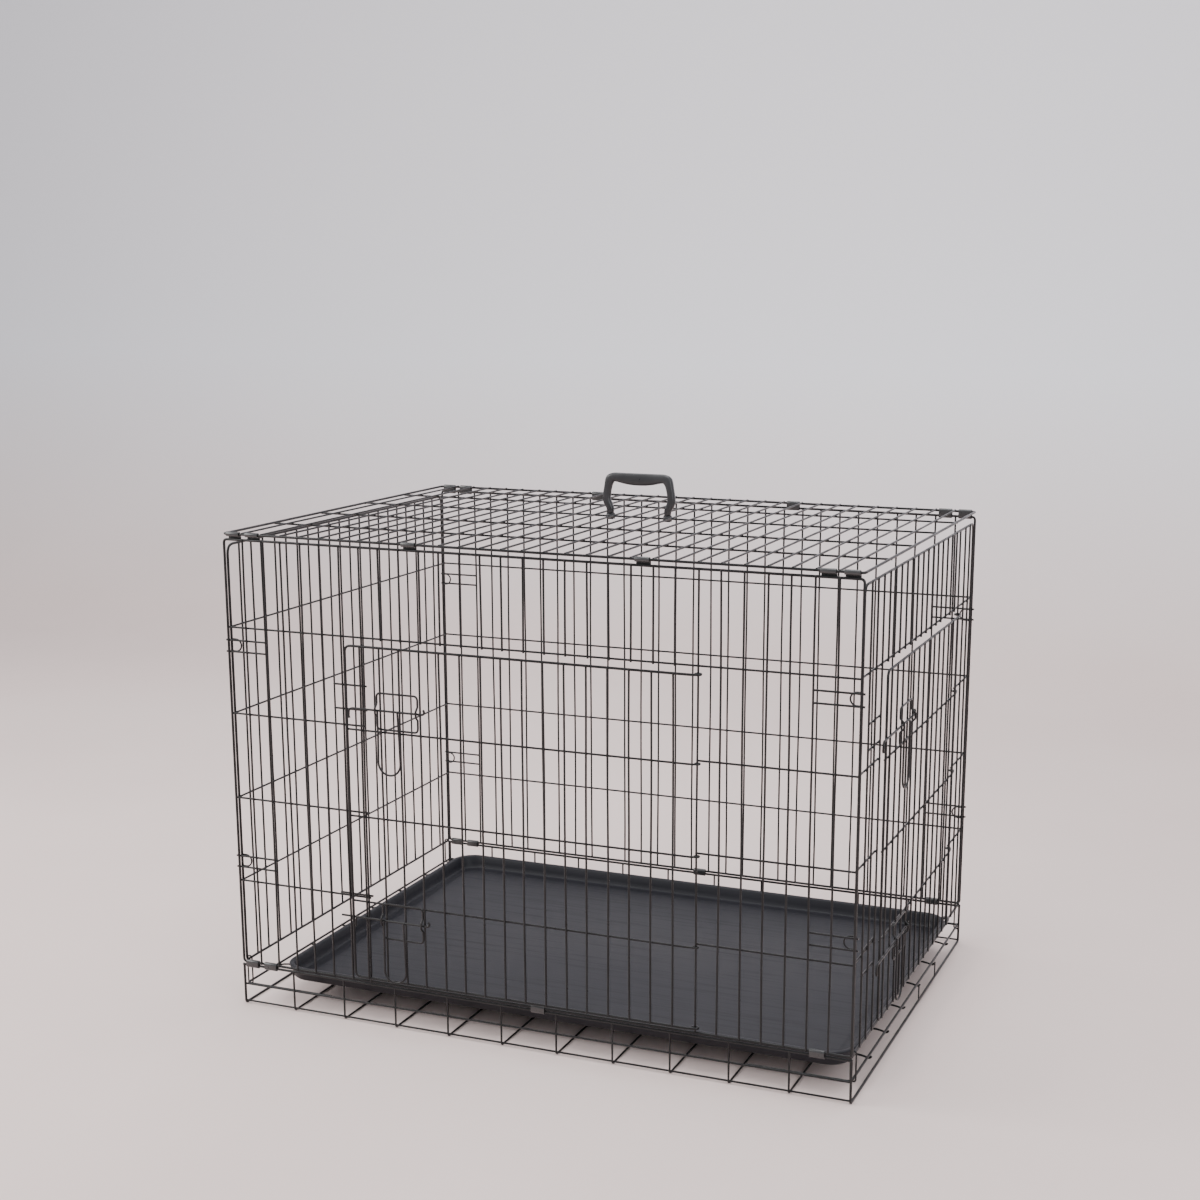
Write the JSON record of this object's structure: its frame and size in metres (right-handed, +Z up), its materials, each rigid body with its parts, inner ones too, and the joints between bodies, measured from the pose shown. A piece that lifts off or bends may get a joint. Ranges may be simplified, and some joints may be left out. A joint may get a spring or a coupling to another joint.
{
  "type": "wire dog crate",
  "caption": "Folding wire dog crate on a raised base, with a latched front door, a latched end door, a lift-up lid, a carrying handle and a slide-out tray.",
  "frame": {"origin": "middle of the crate's bounding box at floor level", "axes": "+X along the front towards the end door, +Y from the front door's wall to the back wall, +Z up"},
  "size_m": [1.0866, 0.7681, 0.883],
  "materials": {
    "black_coated_wire": "glossy black coating",
    "dark_steel_clip": "satin black",
    "black_tray_plastic": "fine pebble",
    "charcoal_grip_plastic": "satin"
  },
  "bodies": {
    "base": {"base_floor_grid": "black_coated_wire", "base_front_rail": "black_coated_wire", "base_back_rail": "black_coated_wire", "tray_support_grid": "black_coated_wire", "front_base_clip_1": "dark_steel_clip", "front_base_clip_2": "dark_steel_clip", "front_base_clip_3": "dark_steel_clip", "front_base_clip_4": "dark_steel_clip", "back_base_clip_1": "dark_steel_clip", "back_base_clip_2": "dark_steel_clip", "back_base_clip_3": "dark_steel_clip", "back_base_clip_4": "dark_steel_clip", "left_front_hinge_link": "black_coated_wire", "left_back_hinge_link": "black_coated_wire", "right_front_hinge_link": "black_coated_wire", "right_back_hinge_link": "black_coated_wire"},
    "tray": {"tray": "black_tray_plastic"},
    "tray_stop": {"tray_stop": "black_coated_wire"},
    "front_wall": {"front_panel": "black_coated_wire"},
    "back_wall": {"back_panel": "black_coated_wire", "lid_hinge_clip_1": "dark_steel_clip", "lid_hinge_clip_2": "dark_steel_clip", "lid_hinge_clip_3": "dark_steel_clip", "lid_hinge_clip_4": "dark_steel_clip", "lid_hinge_clip_5": "dark_steel_clip", "lid_hinge_clip_6": "dark_steel_clip"},
    "left_end": {"left_end_panel": "black_coated_wire", "left_front_lower_hook": "black_coated_wire", "left_front_upper_hook": "black_coated_wire", "left_back_lower_hook": "black_coated_wire", "left_back_upper_hook": "black_coated_wire"},
    "right_end": {"right_end_panel": "black_coated_wire", "right_front_lower_hook": "black_coated_wire", "right_front_upper_hook": "black_coated_wire", "right_back_lower_hook": "black_coated_wire", "right_back_upper_hook": "black_coated_wire"},
    "lid": {"lid_panel": "black_coated_wire", "lid_hook_clip_1": "dark_steel_clip", "lid_hook_clip_2": "dark_steel_clip", "lid_hook_clip_3": "dark_steel_clip", "lid_hook_clip_4": "dark_steel_clip", "lid_hook_clip_5": "dark_steel_clip", "lid_hook_clip_6": "dark_steel_clip"},
    "front_door": {"front_door": "black_coated_wire", "front_lower_latch_guide": "black_coated_wire", "front_upper_latch_guide": "black_coated_wire"},
    "end_door": {"end_door": "black_coated_wire", "end_lower_latch_guide": "black_coated_wire", "end_upper_latch_guide": "black_coated_wire"},
    "carry_handle": {"carry_handle": "charcoal_grip_plastic"},
    "front_lower_bolt": {"front_lower_latch_bolt": "black_coated_wire"},
    "front_lower_pull": {"front_lower_latch_pull": "black_coated_wire"},
    "front_upper_bolt": {"front_upper_latch_bolt": "black_coated_wire"},
    "front_upper_pull": {"front_upper_latch_pull": "black_coated_wire"},
    "end_lower_bolt": {"end_lower_latch_bolt": "black_coated_wire"},
    "end_lower_pull": {"end_lower_latch_pull": "black_coated_wire"},
    "end_upper_bolt": {"end_upper_latch_bolt": "black_coated_wire"},
    "end_upper_pull": {"end_upper_latch_pull": "black_coated_wire"}
  },
  "joints": [
    {"name": "left_end_fold", "type": "hinge", "parent": "base", "child": "left_end", "pos_m": [-0.5391, 0.00655, 0.076], "axis": [0, 1, 0], "range_deg": [0, 90]},
    {"name": "right_end_fold", "type": "hinge", "parent": "base", "child": "right_end", "pos_m": [0.5249, 0.00655, 0.076], "axis": [0, 1, 0], "range_deg": [-86, 0]},
    {"name": "front_wall_fold", "type": "hinge", "parent": "base", "child": "front_wall", "pos_m": [-0.0071, -0.36695, 0.076], "axis": [1, 0, 0], "range_deg": [0, 90]},
    {"name": "back_wall_fold", "type": "hinge", "parent": "base", "child": "back_wall", "pos_m": [-0.0071, 0.38005, 0.076], "axis": [1, 0, 0], "range_deg": [-90, 0]},
    {"name": "lid_lift", "type": "hinge", "parent": "back_wall", "child": "lid", "pos_m": [-0.0071, 0.38005, 0.807], "axis": [-1, 0, 0], "range_deg": [0, 220]},
    {"name": "front_door_swing", "type": "hinge", "parent": "front_wall", "child": "front_door", "pos_m": [0.27717, -0.36695, 0.36], "axis": [0, 0, -1], "range_deg": [-155, 0]},
    {"name": "end_door_swing", "type": "hinge", "parent": "right_end", "child": "end_door", "pos_m": [0.5249, 0.26834, 0.36], "axis": [0, 0, 1], "range_deg": [0, 150]},
    {"name": "front_lower_bolt_slide", "type": "slide", "parent": "front_door", "child": "front_lower_bolt", "axis": [1, 0, 0], "range_m": [0, 0.022]},
    {"name": "front_lower_pull_lift", "type": "hinge", "parent": "front_lower_bolt", "child": "front_lower_pull", "pos_m": [-0.22487, -0.37845, 0.19], "axis": [-1, 0, 0], "range_deg": [0, 95]},
    {"name": "front_upper_bolt_slide", "type": "slide", "parent": "front_door", "child": "front_upper_bolt", "axis": [1, 0, 0], "range_m": [0, 0.022]},
    {"name": "front_upper_pull_lift", "type": "hinge", "parent": "front_upper_bolt", "child": "front_upper_pull", "pos_m": [-0.22487, -0.37845, 0.541], "axis": [-1, 0, 0], "range_deg": [0, 95]},
    {"name": "end_lower_bolt_slide", "type": "slide", "parent": "end_door", "child": "end_lower_bolt", "axis": [0, 1, 0], "range_m": [0, 0.022]},
    {"name": "end_lower_pull_lift", "type": "hinge", "parent": "end_lower_bolt", "child": "end_lower_pull", "pos_m": [0.5364, -0.12874, 0.19], "axis": [0, -1, 0], "range_deg": [0, 95]},
    {"name": "end_upper_bolt_slide", "type": "slide", "parent": "end_door", "child": "end_upper_bolt", "axis": [0, 1, 0], "range_m": [0, 0.022]},
    {"name": "end_upper_pull_lift", "type": "hinge", "parent": "end_upper_bolt", "child": "end_upper_pull", "pos_m": [0.5364, -0.12874, 0.541], "axis": [0, -1, 0], "range_deg": [0, 95]},
    {"name": "tray_slide", "type": "slide", "parent": "base", "child": "tray", "axis": [1, 0, 0], "range_m": [0, 0.95]},
    {"name": "tray_stop_swing", "type": "hinge", "parent": "base", "child": "tray_stop", "pos_m": [0.5249, 0.11155, 0.035], "axis": [0, 1, 0], "range_deg": [-175, 0]},
    {"name": "carry_handle_swing", "type": "hinge", "parent": "lid", "child": "carry_handle", "pos_m": [0.0022, 0.08125, 0.807], "axis": [1, 0, 0], "range_deg": [-58, 58]}
  ]
}
